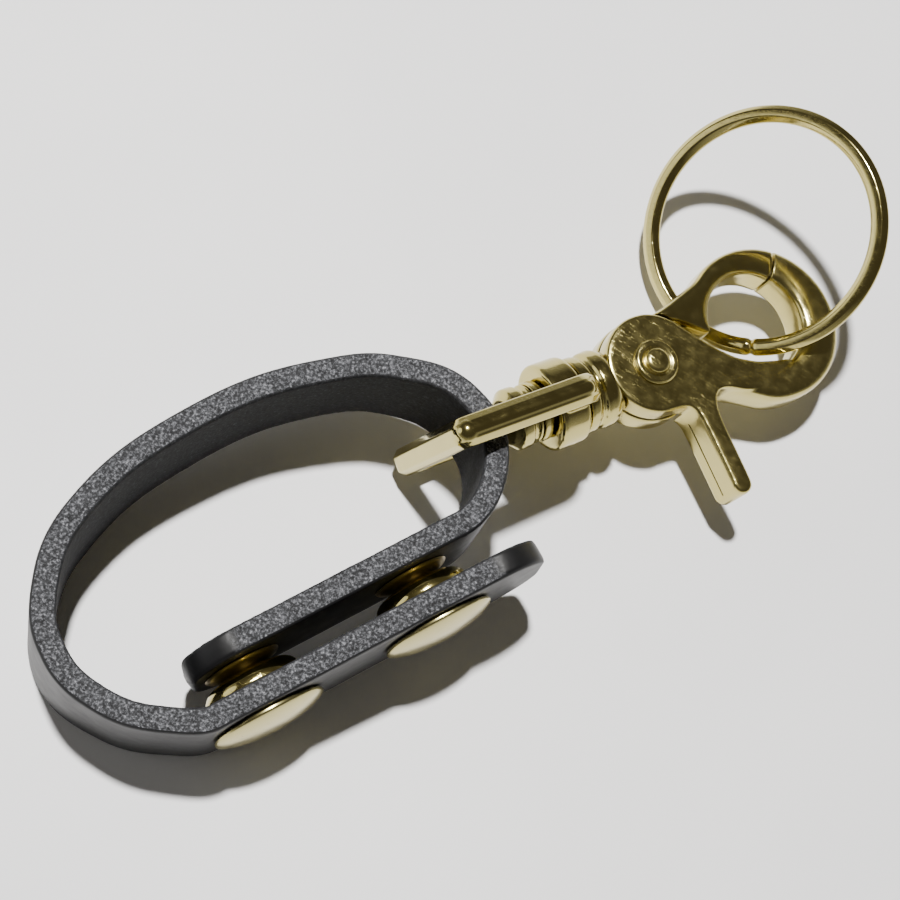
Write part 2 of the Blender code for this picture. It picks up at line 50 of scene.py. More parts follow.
# ------------------------------------------------------------ dimensions (mm)
STRAP_WIDTH = 13.6
STRAP_THICKNESS = 2.7
STRAP_END_ROUND = 6.0
STRAP_BASE = 0.07
LIFT_SLOPE = 0.1057
LIFT_FROM = (-30.6, -33.0)
LIFT_TOWARD = (0.80, 0.60)
TAIL_ANGLE = math.radians(56.6)
TAIL_SPACING = 5.95
SNAP_FIRST = (-4.5, -38.6)
SNAP_PITCH = 20.1
CAP_RADIUS = 6.3
CAP_DOME = 1.35
CAP_RIM = 0.45
SOCKET_RADIUS = 5.5
SOCKET_DEPTH = 1.75
SOCKET_MOUTH = 3.25
SOCKET_LIP = 3.6
STUD_RADIUS = 4.3
STUD_KNOB = 2.45
POST_RADIUS = 4.6
SPRING_RADIUS = 2.82
SPRING_WIRE = 0.17
SEAT_GAP = 0.2
RIVET_AT = (15.43, 16.71, 9.3)
HOOK_HEADING = math.radians(52.6)
HOOK_PITCH = math.radians(6.0)
HOOK_ROLL = math.radians(4.0)
BOSS_AT = -12.6
EYE_LEAN = math.radians(8.3)
EYE_HALF_HEIGHT = 10.6
EYE_BAR = 2.6
EYE_FAR = -17.0
EYE_NEAR = 1.9
EYE_FAR_BAR = 2.2
EYE_NEAR_BAR = 3.8
EYE_DEPTH = 3.3
BOSS_RADIUS = 5.1
DISC_RADIUS = 6.05
BODY_DISC_RADIUS = 6.2
FACE_TOP = 3.05
FACE_SPLIT = 0.45
BODY_BOTTOM = -3.2
BODY_TOP = 0.15
JAW_HALF = 2.6
NECK_RADIUS = 4.5
NECK_END = -10.3
LOOP_CENTRE = (16.4, 0.15)
LOOP_RADIUS = 9.75
EYE_CENTRE = (15.3, 0.75)
EYE_RADIUS = 6.1
SEAM_OUTER = math.radians(56.0)
SEAM_INNER = math.radians(45.0)
SEAM_GAP = 0.25
RIVET_HEAD = 2.75
COIL_RADIUS = 3.4
COIL_WIRE = 0.28
RING_OUTER = 15.0
RING_BAND = 2.1
RING_DEPTH = 1.7
RING_AT = (19.99, 39.15, 12.33)
RING_TILT = math.radians(40.8)
RING_AZIMUTH = math.radians(-128.5)

QUARTER = math.radians(90.0)
TURN = 2.0 * math.pi
ROUND_STEPS = 128
STRAP_SPACING = 0.22
PATH_STEPS = 64
SHARP_ANGLE = math.radians(50.0)


# ------------------------------------------------------------ material tools
class Nodes:
    """A Principled material with short calls for its node tree."""

    def __init__(self, name, colour, metallic, roughness):
        self.mat = bpy.data.materials.new(name)
        self.mat.use_nodes = True
        self.tree = self.mat.node_tree
        self.shader = self.tree.nodes["Principled BSDF"]
        self.shader.inputs["Base Color"].default_value = (*colour, 1.0)
        self.shader.inputs["Metallic"].default_value = metallic
        self.shader.inputs["Roughness"].default_value = roughness
        self.where = self.tree.nodes.new("ShaderNodeTexCoord").outputs["Object"]

    def link(self, out, socket):
        self.tree.links.new(out, socket)

    def stretched(self, scale, rotation=(0.0, 0.0, 0.0)):
        node = self.tree.nodes.new("ShaderNodeMapping")
        node.inputs["Scale"].default_value = scale
        node.inputs["Rotation"].default_value = rotation
        self.link(self.where, node.inputs["Vector"])
        return node.outputs["Vector"]

    def noise(self, scale, detail, rough=0.55, vector=None):
        node = self.tree.nodes.new("ShaderNodeTexNoise")
        node.inputs["Scale"].default_value = scale
        node.inputs["Detail"].default_value = detail
        node.inputs["Roughness"].default_value = rough
        self.link(vector or self.where, node.inputs["Vector"])
        return node.outputs["Fac"]

    def cells(self, scale):
        node = self.tree.nodes.new("ShaderNodeTexVoronoi")
        node.inputs["Scale"].default_value = scale
        self.link(self.where, node.inputs["Vector"])
        return node.outputs["Distance"]

    def ramp(self, fac, stops):
        node = self.tree.nodes.new("ShaderNodeValToRGB")
        elements = node.color_ramp.elements
        while len(elements) < len(stops):
            elements.new(0.5)
        for element, (place, colour) in zip(elements, stops):
            element.position = place
            element.color = (*colour, 1.0) if isinstance(colour, tuple) else (colour, colour, colour, 1.0)
        self.link(fac, node.inputs["Fac"])
        return node.outputs["Color"]

    def mix(self, fac, first, second):
        node = self.tree.nodes.new("ShaderNodeMix")
        node.data_type = "RGBA"
        for value, label in ((fac, "Factor"), (first, "A"), (second, "B")):
            socket = node.inputs[label]
            if isinstance(value, bpy.types.NodeSocket):
                self.link(value, socket)
            else:
                socket.default_value = (*value, 1.0) if isinstance(value, tuple) else value
        return node.outputs["Result"]

    def scaled(self, value, low, high):
        node = self.tree.nodes.new("ShaderNodeMapRange")
        node.inputs["To Min"].default_value = low
        node.inputs["To Max"].default_value = high
        self.link(value, node.inputs["Value"])
        return node.outputs["Result"]

    def attribute(self, name):
        node = self.tree.nodes.new("ShaderNodeAttribute")
        node.attribute_name = name
        return node.outputs["Fac"]

    def bump(self, layers):
        normal = None
        for height, strength, distance in layers:
            node = self.tree.nodes.new("ShaderNodeBump")
            node.inputs["Strength"].default_value = strength
            node.inputs["Distance"].default_value = distance * MM
            self.link(height, node.inputs["Height"])
            if normal is not None:
                self.link(normal, node.inputs["Normal"])
            normal = node.outputs["Normal"]
        self.link(normal, self.shader.inputs["Normal"])


def brass_material(name, tint=(0.57, 0.49, 0.185), low=0.09, high=0.19, scratch=0.5):
    """Polished pale brass with fine hairline scratches lying in several directions."""
    m = Nodes(name, tint, 1.0, low)
    cloud = m.noise(160.0, 3.0)
    haze = m.noise(700.0, 3.0)
    lines = []
    for turn, scale in (((0.2, 0.1, 0.5), 330.0), ((0.1, 0.3, -0.7), 270.0), ((0.3, 0.0, 1.7), 400.0)):
        streak = m.noise(scale, 2.0, 0.5, m.stretched((1.0, 34.0, 6.0), turn))
        lines.append(m.ramp(streak, [(0.66, 0.0), (0.70, 1.0)]))
    tone = m.ramp(cloud, [(0.30, tuple(0.94 * c for c in tint)), (0.70, tint)])
    m.link(m.mix(m.scaled(lines[0], 0.0, 0.5 * scratch), tone, tuple(min(1.0, 1.12 * c) for c in tint)),
           m.shader.inputs["Base Color"])
    m.link(m.scaled(m.ramp(haze, [(0.35, 0.0), (0.75, 1.0)]), low, high), m.shader.inputs["Roughness"])
    m.bump([(cloud, 0.05, 0.05)] + [(line, scratch, 0.004) for line in lines])
    return m.mat


def steel_material(name):
    m = Nodes(name, (0.50, 0.49, 0.47), 1.0, 0.3)
    drawn = m.noise(2500.0, 3.0)
    m.link(m.scaled(drawn, 0.22, 0.42), m.shader.inputs["Roughness"])
    m.bump([(drawn, 0.2, 0.01)])
    return m.mat


def grain_material():
    """The smooth black outside of the leather."""
    m = Nodes("leather_grain_side", (0.006, 0.006, 0.0065), 0.0, 0.45)
    m.shader.inputs["Specular IOR Level"].default_value = 0.42
    pores = m.cells(2100.0)
    wrinkles = m.noise(420.0, 5.0, 0.6)
    haze = m.noise(90.0, 3.0)
    m.link(m.ramp(haze, [(0.30, (0.004, 0.004, 0.0045)), (0.75, (0.010, 0.010, 0.011))]),
           m.shader.inputs["Base Color"])
    m.link(m.scaled(wrinkles, 0.36, 0.60), m.shader.inputs["Roughness"])
    m.bump([(wrinkles, 0.22, 0.05), (m.ramp(pores, [(0.05, 0.0), (0.45, 1.0)]), 0.15, 0.03)])
    return m.mat


def edge_material():
    """The rough cut edge: pale fibres over dark ones, smooth and black where it is burnished."""
    m = Nodes("leather_cut_edge", (0.03, 0.03, 0.032), 0.0, 0.8)
    m.shader.inputs["Specular IOR Level"].default_value = 0.30
    fibre = m.noise(3300.0, 5.0, 0.70, m.stretched((1.0, 1.0, 0.6)))
    clump = m.noise(1100.0, 5.0, 0.65)
    speck = m.ramp(fibre, [(0.41, (0.003, 0.003, 0.0035)), (0.50, (0.030, 0.031, 0.034)),
                           (0.60, (0.130, 0.133, 0.146)), (0.70, (0.36, 0.365, 0.39))])
    shade = m.ramp(clump, [(0.36, (0.010, 0.010, 0.011)), (0.62, (0.075, 0.077, 0.084))])
    rough = m.mix(0.78, shade, speck)
    smooth = m.attribute("burnish")
    m.link(m.mix(smooth, rough, (0.005, 0.005, 0.0055)), m.shader.inputs["Base Color"])
    m.link(m.scaled(smooth, 0.80, 0.40), m.shader.inputs["Roughness"])
    flat = (0.5, 0.5, 0.5)
    m.bump([(m.mix(smooth, clump, flat), 0.6, 0.12), (m.mix(smooth, fibre, flat), 0.7, 0.09)])
    return m.mat


def flesh_material():
    """The dark napped inside of the leather."""
    m = Nodes("leather_flesh_side", (0.012, 0.012, 0.013), 0.0, 0.85)
    m.shader.inputs["Specular IOR Level"].default_value = 0.35
    nap = m.noise(2600.0, 6.0, 0.72)
    clump = m.noise(330.0, 5.0, 0.6)
    base = m.ramp(nap, [(0.40, (0.006, 0.006, 0.007)), (0.58, (0.026, 0.027, 0.030)),
                        (0.72, (0.10, 0.103, 0.115))])
    m.link(m.mix(m.scaled(clump, 0.0, 0.6), base, (0.014, 0.014, 0.016)), m.shader.inputs["Base Color"])
    m.bump([(clump, 0.4, 0.10), (nap, 0.55, 0.06)])
    return m.mat


BRASS = brass_material("brass_polished")
BRASS_WORN = brass_material("brass_worn", low=0.15, high=0.27, scratch=0.8)
BRASS_CAP = brass_material("brass_cap", tint=(0.52, 0.46, 0.21), low=0.20, high=0.28, scratch=0.3)
# Darkened brass for the studs: its dark tint is painted shade, standing in for the shade in the gap between
# the strap's two tails.
BRASS_PAINTED_SHADE = brass_material("brass_painted_shade", tint=(0.26, 0.20, 0.08), low=0.32, high=0.42, scratch=0.4)
STEEL = steel_material("spring_wire")


# ------------------------------------------------------------ shape tools
def shift(x, y, z):
    return Matrix.Translation((x * MM, y * MM, z * MM))


TO_CENTRE = Matrix.Translation(-CENTRE * MM)


def add(name, data):
    obj = bpy.data.objects.new(name, data)
    bpy.context.scene.collection.objects.link(obj)
    return obj


def mesh_of(work, name):
    mesh = bpy.data.meshes.new(name)
    bmesh.ops.recalc_face_normals(work, faces=work.faces)
    work.to_mesh(mesh)
    work.free()
    mesh.shade_smooth()
    return mesh


def solved(obj):
    """The object's mesh with its modifiers applied; the object is removed."""
    bpy.context.view_layer.update()
    graph = bpy.context.evaluated_depsgraph_get()
    mesh = bpy.data.meshes.new_from_object(obj.evaluated_get(graph))
    mesh.name = obj.name
    bpy.data.objects.remove(obj, do_unlink=True)
    return mesh


def arc(centre, radius, start, end, steps):
    return [(centre[0] + radius * math.cos(start + (end - start) * i / steps),
             centre[1] + radius * math.sin(start + (end - start) * i / steps)) for i in range(steps + 1)]


def filleted(points, radius, steps, closed=True):
    """The polyline with its corners rounded, by less where an edge is short."""
    out = []
    count = len(points)
    for i, point in enumerate(points):
        here = Vector(point)
        if not closed and i in (0, count - 1):
            out.append(tuple(here))
            continue
        before = Vector(points[i - 1]) - here
        after = Vector(points[(i + 1) % count]) - here
        if before.length < 1e-9 or after.length < 1e-9:
            continue
        reach = min(radius, 0.45 * before.length, 0.45 * after.length)
        start = here + before.normalized() * reach
        end = here + after.normalized() * reach
        for step in range(steps + 1):
            s = step / steps
            out.append(tuple((1 - s) ** 2 * start + 2 * s * (1 - s) * here + s * s * end))
    return out


def lathe(name, profile, radius, steps=ROUND_STEPS):
    """Revolve an open or closed (radius, height) profile about Z; corners off the axis are rounded."""
    on_axis = profile[0][0] == 0.0 and profile[-1][0] == 0.0
    points = filleted(profile, radius, 4, closed=not on_axis)
    work = bmesh.new()
    verts = [work.verts.new((r * MM, 0.0, h * MM)) for r, h in points]
    pairs = list(zip(verts, verts[1:]))
    if not on_axis:
        pairs.append((verts[-1], verts[0]))
    edges = [work.edges.new(pair) for pair in pairs]
    bmesh.ops.spin(work, geom=verts + edges, axis=(0, 0, 1), cent=(0, 0, 0), steps=steps, angle=TURN,
                   use_merge=True)
    bmesh.ops.remove_doubles(work, verts=work.verts, dist=0.000002)
    return mesh_of(work, name)


def prism(name, outlines, low, high, edge=0.0, steps=3):
    """Filled outlines extruded from low to high, with the rims bevelled inside the outline."""
    curve = bpy.data.curves.new(name, "CURVE")
    curve.dimensions = "2D"
    curve.fill_mode = "BOTH"
    curve.extrude = ((high - low) / 2.0 - edge) * MM
    curve.bevel_depth = edge * MM
    curve.bevel_resolution = steps
    curve.offset = -edge * MM
    for outline in outlines:
        spline = curve.splines.new("POLY")
        spline.points.add(len(outline) - 1)
        for point, (x, y) in zip(spline.points, outline):
            point.co = (x * MM, y * MM, 0.0, 1.0)
        spline.use_cyclic_u = True
    work = bmesh.new()
    work.from_mesh(solved(add(name, curve)))
    bmesh.ops.remove_doubles(work, verts=work.verts, dist=0.000005)
    bmesh.ops.translate(work, verts=work.verts, vec=(0.0, 0.0, (high + low) * MM / 2.0))
    return mesh_of(work, name)


def union(name, meshes):
    """Overlapping closed meshes in one mesh, ready for remeshing."""
    work = bmesh.new()
    for mesh in meshes:
        work.from_mesh(mesh)
    return mesh_of(work, name)


def cut(mesh, tool_mesh):
    obj = add(mesh.name, mesh)
    tool = add("tool", tool_mesh)
    mod = obj.modifiers.new("cut", "BOOLEAN")
    mod.operation = "DIFFERENCE"
    mod.solver = "EXACT"
    mod.object = tool
    result = solved(obj)
    bpy.data.objects.remove(tool, do_unlink=True)
    return result


def cast(mesh, voxel, soften):
    """One cast body from overlapping solids: fused, then softened so that every edge is rounded."""
    obj = add(mesh.name, mesh)
    fuse = obj.modifiers.new("fuse", "REMESH")
    fuse.mode = "VOXEL"
    fuse.voxel_size = voxel * MM
    fuse.use_smooth_shade = True
    soft = obj.modifiers.new("soften", "SMOOTH")
    soft.factor = 0.5
    soft.iterations = soften
    result = solved(obj)
    result.shade_smooth()
    return result


def cylinder(name, radius, low, high, edge=0.01):
    return lathe(name, [(0.0, low), (radius, low), (radius, high), (0.0, high)], edge)


def finish_piece(name, mesh, place, body, material, nodes):
    mesh.materials.clear()
    mesh.materials.append(material)
    mesh.transform(TO_CENTRE @ place)
    obj = add(name, mesh)
    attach(obj, body)
    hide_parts(*nodes)


# ------------------------------------------------------------ leather strap
def lift(x, y):
    return LIFT_SLOPE * max(0.0, (x - LIFT_FROM[0]) * LIFT_TOWARD[0] + (y - LIFT_FROM[1]) * LIFT_TOWARD[1])


tail = Vector((math.cos(TAIL_ANGLE), math.sin(TAIL_ANGLE)))
outward = Vector((tail.y, -tail.x))
snap_line = Vector(SNAP_FIRST)
inner_line = snap_line - outward * TAIL_SPACING


def tail_point(origin, distance):
    spot = origin + tail * distance
    return (spot.x, spot.y, 0.0, TAIL_ANGLE)


PATH = [
    tail_point(inner_line, -5.8), tail_point(inner_line, 0.7), tail_point(inner_line, 10.7),
    tail_point(inner_line, 25.6), (4.6, -5.1, 0.0, None), (-1.2, -0.5, 1.0, None), (-8.9, -0.9, 4.0, None),
    (-15.8, -4.9, 4.0, None), (-25.6, -16.8, 2.0, None), (-30.9, -31.6, 1.0, None), (-29.9, -39.3, 2.5, None),
    (-25.6, -45.4, 4.0, None), (-18.2, -47.3, 1.0, None), (-11.4, -45.7, 0.0, None),
    tail_point(snap_line, -5.4), tail_point(snap_line, 10.7), tail_point(snap_line, 33.4),
]


def strap_samples(spacing):
    """Evenly spaced (point, tangent, lean, distance) along the strap's middle."""
    curve = bpy.data.curves.new("route", "CURVE")
    curve.dimensions = "3D"
    spline = curve.splines.new("BEZIER")
    spline.bezier_points.add(len(PATH) - 1)
    for index, (knot, (px, py, _lean, heading)) in enumerate(zip(spline.bezier_points, PATH)):
        knot.co = (px, py, STRAP_BASE + STRAP_WIDTH / 2.0 + lift(px, py))
        if heading is None:
            knot.handle_left_type = "AUTO"
            knot.handle_right_type = "AUTO"
            continue
        knot.handle_left_type = "FREE"
        knot.handle_right_type = "FREE"
        for side, other in ((-1.0, max(index - 1, 0)), (1.0, min(index + 1, len(PATH) - 1))):
            reach = side * math.dist(PATH[other][:2], (px, py)) / 3.0
            hx = px + reach * math.cos(heading)
            hy = py + reach * math.sin(heading)
            handle = (hx, hy, STRAP_BASE + STRAP_WIDTH / 2.0 + lift(hx, hy))
            if side < 0.0:
                knot.handle_left = handle
            else:
                knot.handle_right = handle
    holder = add("route", curve)
    bpy.context.view_layer.update()
    points = []
    leans = []
    for index in range(len(PATH) - 1):
        first = spline.bezier_points[index]
        second = spline.bezier_points[index + 1]
        run = geometry.interpolate_bezier(first.co, first.handle_right, second.handle_left, second.co,
                                          PATH_STEPS + 1)
        for step in range(PATH_STEPS + (index == len(PATH) - 2)):
            points.append(run[step])
            leans.append(PATH[index][2] + (PATH[index + 1][2] - PATH[index][2]) * step / PATH_STEPS)
    bpy.data.objects.remove(holder, do_unlink=True)
    distances = [0.0]
    for first, second in zip(points, points[1:]):
        distances.append(distances[-1] + (second - first).length)
    total = distances[-1]
    count = int(total / spacing)
    samples = []
    at = 0
    for index in range(count + 1):
        share = index / count
        want = total * share
        while at < len(distances) - 2 and distances[at + 1] < want:
            at += 1
        part = (want - distances[at]) / max(1e-9, distances[at + 1] - distances[at])
        spot = points[at].lerp(points[at + 1], part)
        low = max(at - 2, 0)
        high = min(at + 3, len(points) - 1)
        tangent = (points[high] - points[low]).normalized()
        samples.append((spot, tangent, leans[at] + (leans[at + 1] - leans[at]) * part, want))
    return samples, total


# kinds of profile point; the first three are also the strap's material slots
GRAIN, EDGE, FLESH, BEVEL = range(4)
GRAIN_CORNER = 0.42
FLESH_CORNER = 0.2


def strap_profile(half_height):
    """Cross-section points of the strap: out from its middle, up, and kind."""
    half = STRAP_THICKNESS / 2.0
    corner = GRAIN_CORNER
    out = []
    faces = 22
    edges = 12
    for i in range(faces + 1):
        out.append((half, -half_height + corner + (2 * half_height - 2 * corner) * i / faces, GRAIN))
    for i in range(1, 4):
        a = QUARTER * i / 4
        out.append((half - corner + corner * math.cos(a), half_height - corner + corner * math.sin(a), BEVEL))
    for i in range(edges + 1):
        out.append((half - corner - (2 * half - corner - FLESH_CORNER) * i / edges, half_height, EDGE))
    for i in range(faces + 1):
        out.append((-half, half_height - FLESH_CORNER - (2 * half_height - 2 * FLESH_CORNER) * i / faces,
                    FLESH))
    for i in range(edges + 1):
        out.append((-half + FLESH_CORNER + (2 * half - corner - FLESH_CORNER) * i / edges, -half_height,
                    EDGE))
    for i in range(1, 4):
        a = -QUARTER + QUARTER * i / 4
        out.append((half - corner + corner * math.cos(a), -half_height + corner + corner * math.sin(a),
                    BEVEL))
    return out


def end_height(distance):
    half = STRAP_WIDTH / 2.0
    if distance >= STRAP_END_ROUND:
        return half
    fall = 1.0 - max(0.0, distance) / STRAP_END_ROUND
    return half - STRAP_END_ROUND * (1.0 - math.sqrt(max(0.0, 1.0 - fall * fall)))


def face_slot(first, second):
    """The material slot between two kinds of profile point; a bevel line takes its neighbour's."""
    if {first, second} == {EDGE, BEVEL}:
        return EDGE
    highest = max(first, second)
    return GRAIN if highest == BEVEL else highest


END_THINNING = 0.6
BURNISHED = 6.9
BURNISH_FADE = 1.6
EDGE_FUZZ = 0.09
EDGE_CROWN = 0.10
LOWER_EDGE_LIMIT = 0.04
FLESH_RELIEF = 0.035
GRAIN_RELIEF = 0.02


def strap_mesh():
    """The whole strap's mesh, the distance of each of its rings, and its samples."""
    samples, total = strap_samples(STRAP_SPACING)
    work = bmesh.new()
    burnish = work.verts.layers.float.new("burnish")
    rings = []
    kinds = None
    for spot, tangent, lean, distance in samples:
        side = tangent.cross(Vector((0.0, 0.0, 1.0))).normalized()
        up = side.cross(tangent).normalized()
        turn = Matrix.Rotation(-math.radians(lean), 3, tangent)
        side = turn @ side
        up = turn @ up
        from_end = min(distance, total - distance)
        profile = strap_profile(end_height(from_end))
        kinds = [kind for _, _, kind in profile]
        thin = 1.0
        if from_end <= END_THINNING:
            thin = math.sqrt(max(0.05, 1.0 - (1.0 - from_end / END_THINNING) ** 2))
        worn = min(1.0, max(0.0, (BURNISHED - from_end) / BURNISH_FADE))
        ring = []
        for out, high, kind in profile:
            base = spot + side * (out * thin) + up * high
            if kind == EDGE:
                fuzz = EDGE_FUZZ * (1.0 - 0.9 * worn)
                crown = EDGE_CROWN * (1.0 - (out / (STRAP_THICKNESS / 2.0)) ** 2)
                swell = crown + fuzz * (noise.fractal(base * 2.2, 0.5, 2.2, 4) - 0.3)
                push = up * (swell if high > 0.0 else -min(swell, LOWER_EDGE_LIMIT))
            elif kind == FLESH:
                push = side * (FLESH_RELIEF * noise.fractal(base * 1.3, 0.7, 2.1, 3))
            elif kind == GRAIN:
                push = side * (GRAIN_RELIEF * noise.noise(base * 0.35))
            else:
                push = Vector((0.0, 0.0, 0.0))
            vert = work.verts.new((base + push) * MM)
            vert[burnish] = worn
            ring.append(vert)
        rings.append(ring)
    count = len(kinds)
    for first, second in zip(rings, rings[1:]):
        for i in range(count):
            j = (i + 1) % count
            face = work.faces.new((first[i], first[j], second[j], second[i]))
            face.material_index = face_slot(kinds[i], kinds[j])
    for ring in (rings[0], rings[-1]):
        face = work.faces.new(ring)
        face.material_index = EDGE
    return mesh_of(work, "leather_strap"), [sample[3] for sample in samples], samples


def strap_length(whole, distances, name, low, high):
    """The part of the strap between two distances along it, shaded as if it were still joined to the rest."""
    round_count = len(whole.vertices) // len(distances)
    wanted = [i for i, distance in enumerate(distances) if low <= distance <= high]
    first = wanted[0] * round_count
    last = (wanted[-1] + 1) * round_count
    work = bmesh.new()
    work.from_mesh(whole)
    bmesh.ops.delete(work, geom=[v for v in work.verts if not first <= v.index < last], context="VERTS")
    mesh = bpy.data.meshes.new(name)
    work.to_mesh(mesh)
    work.free()
    mesh.shade_smooth()
    for material in whole.materials:
        mesh.materials.append(material)
    mesh.normals_split_custom_set_from_vertices([whole.vertices[i].normal[:] for i in range(first, last)])
    return add(name, mesh)


leather, strap_distances, strap_line = strap_mesh()
for made in (grain_material(), edge_material(), flesh_material()):
    leather.materials.append(made)
leather.transform(TO_CENTRE)
HINGE_DISTANCE = 98.0
BEND_PIECE = 13.2
loop = strap_length(leather, strap_distances, "leather_loop", 0.0, HINGE_DISTANCE - BEND_PIECE)
bend = strap_length(leather, strap_distances, "leather_bend", HINGE_DISTANCE - BEND_PIECE - STRAP_SPACING,
                    HINGE_DISTANCE + BEND_PIECE + STRAP_SPACING)
flap = strap_length(leather, strap_distances, "leather_flap", HINGE_DISTANCE + BEND_PIECE,
                    strap_distances[-1])
bpy.data.meshes.remove(leather)
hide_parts("strap_loop")
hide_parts("strap_flap")
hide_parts("strap_loop", "strap_flap")
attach(loop, "strap")
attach(flap, "flap")
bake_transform(bend)

# ------------------------------------------------------------ ring snaps
DOME_STEPS = 24
DOME_POWER = 1.25
SOCKET_BORE = 1.6
SOCKET_PLATE = 0.45
SOCKET_STEPS = 16
SPRING_STEPS = 72
SPRING_START = 15.0
SPRING_SWEEP = 330.0
STUD_BORE = 1.45
POST_SHANK = 1.15
POST_EDGE = 0.12
POST_DOME = 0.7
POST_POWER = 1.4
POST_STEPS = 16
half_t = STRAP_THICKNESS / 2.0
inner_face = -half_t - (TAIL_SPACING - STRAP_THICKNESS)
inner_back = inner_face - STRAP_THICKNESS
for index in (1, 2):
    spot = snap_line + tail * (SNAP_PITCH * (index - 1))
    height = STRAP_BASE + STRAP_WIDTH / 2.0 + lift(spot.x, spot.y)
    axis = Vector((outward.x, outward.y, 0.0))
    snap = shift(spot.x, spot.y, height) @ axis.to_track_quat("Z", "Y").to_matrix().to_4x4()
    tag = "_" + str(index)
    base = half_t + 0.05
    dome = [(0.0, half_t - 0.6), (CAP_RADIUS - 1.2, half_t - 0.6), (CAP_RADIUS - 0.9, base),
            (CAP_RADIUS - 0.22, base), (CAP_RADIUS, base + 0.22), (CAP_RADIUS, base + CAP_RIM)]
    for step in range(1, DOME_STEPS + 1):
        turn = QUARTER * step / DOME_STEPS
        dome.append((CAP_RADIUS * math.cos(turn) if step < DOME_STEPS else 0.0,
                     base + CAP_RIM + CAP_DOME * math.sin(turn) ** DOME_POWER))
    finish_piece("cap" + tag, lathe("cap" + tag, dome, 0.08), snap, "flap", BRASS_CAP, ["snap_cap" + tag])

    top = -half_t - 0.02
    depth = SOCKET_DEPTH + SEAT_GAP
    socket = [(SOCKET_BORE, top), (SOCKET_RADIUS - 0.1, top)]
    for step in range(SOCKET_STEPS + 1):
        turn = QUARTER * step / SOCKET_STEPS
        socket.append((SOCKET_LIP + (SOCKET_RADIUS - SOCKET_LIP) * math.cos(turn),
                       top - 0.2 - (depth - 0.2) * math.sin(turn)))
    socket += [(SOCKET_MOUTH, top - depth), (SOCKET_MOUTH, top - SOCKET_PLATE),
               (SOCKET_BORE, top - SOCKET_PLATE)]
    finish_piece("socket" + tag, lathe("socket" + tag, socket, 0.1), snap, "flap", BRASS,
                 ["snap_socket" + tag])

    ring = bpy.data.curves.new("spring_ring" + tag, "CURVE")
    ring.dimensions = "3D"
    ring.bevel_depth = SPRING_WIRE * MM
    ring.bevel_resolution = 4
    ring.use_fill_caps = True
    run = ring.splines.new("POLY")
    run.points.add(SPRING_STEPS)
    for step, point in enumerate(run.points):
        angle = math.radians(SPRING_START + SPRING_SWEEP * step / SPRING_STEPS)
        point.co = (SPRING_RADIUS * math.cos(angle) * MM, SPRING_RADIUS * math.sin(angle) * MM,
                    (-half_t - SEAT_GAP - SOCKET_DEPTH + 0.45) * MM, 1.0)
    wire = solved(add("spring_ring" + tag, ring))
    wire.shade_smooth()
    finish_piece("spring_ring" + tag, wire, snap, "flap", STEEL, ["snap_spring" + tag])

    seat = inner_face + 0.02
    stud = [(STUD_BORE, seat), (STUD_RADIUS - 0.12, seat), (STUD_RADIUS, seat + 0.12),
            (STUD_RADIUS - 0.25, seat + 0.4), (STUD_RADIUS - 1.1, seat + 0.75),
            (STUD_KNOB + 0.2, seat + 0.95), (STUD_KNOB - 0.2, seat + 1.35), (STUD_KNOB, seat + 1.7), (STUD_KNOB - 0.25, seat + 2.0),
            (STUD_BORE, seat + 2.0)]
    # The stud takes the darkened brass, whose dark tint is painted shade for the gap between the tails.
    finish_piece("stud" + tag, lathe("stud" + tag, stud, 0.3), snap, "strap", BRASS_PAINTED_SHADE, ["snap_stud" + tag])

    back = inner_back - 0.02
    post = [(0.0, inner_face + 1.6), (POST_SHANK, inner_face + 1.6), (POST_SHANK, back + 0.3),
            (POST_RADIUS - 0.5, back + 0.3), (POST_RADIUS - 0.3, back), (POST_RADIUS, back),
            (POST_RADIUS, back - POST_EDGE)]
    for step in range(1, POST_STEPS + 1):
        turn = QUARTER * step / POST_STEPS
        post.append((POST_RADIUS * math.cos(turn) if step < POST_STEPS else 0.0,
                     back - POST_EDGE - POST_DOME * math.sin(turn) ** POST_POWER))
    finish_piece("post" + tag, lathe("post" + tag, post, 0.06), snap, "strap", BRASS, ["snap_post" + tag])

# ------------------------------------------------------------ frames of the hook
hook_frame = (shift(*RIVET_AT) @ Matrix.Rotation(HOOK_HEADING, 4, "Z") @ Matrix.Rotation(HOOK_PITCH, 4, "Y")
              @ Matrix.Rotation(HOOK_ROLL, 4, "X"))
swivel_frame = hook_frame @ shift(BOSS_AT, 0.0, 0.0)
eye_frame = swivel_frame @ Matrix.Rotation(EYE_LEAN, 4, "X")
along_axis = Matrix.Rotation(QUARTER, 4, "Y")
flat_to_eye = Matrix.Rotation(QUARTER, 4, "X")


# ------------------------------------------------------------ strap eye
def box_outline(left, right, half, near, far):
    points = arc((right - near, half - near), near, 0.0, QUARTER, 12)
    points += arc((left + far, half - far), far, QUARTER, 2 * QUARTER, 8)
    points += arc((left + far, -half + far), far, 2 * QUARTER, 3 * QUARTER, 8)
    points += arc((right - near, -half + near), near, 3 * QUARTER, 4 * QUARTER, 12)
    return points


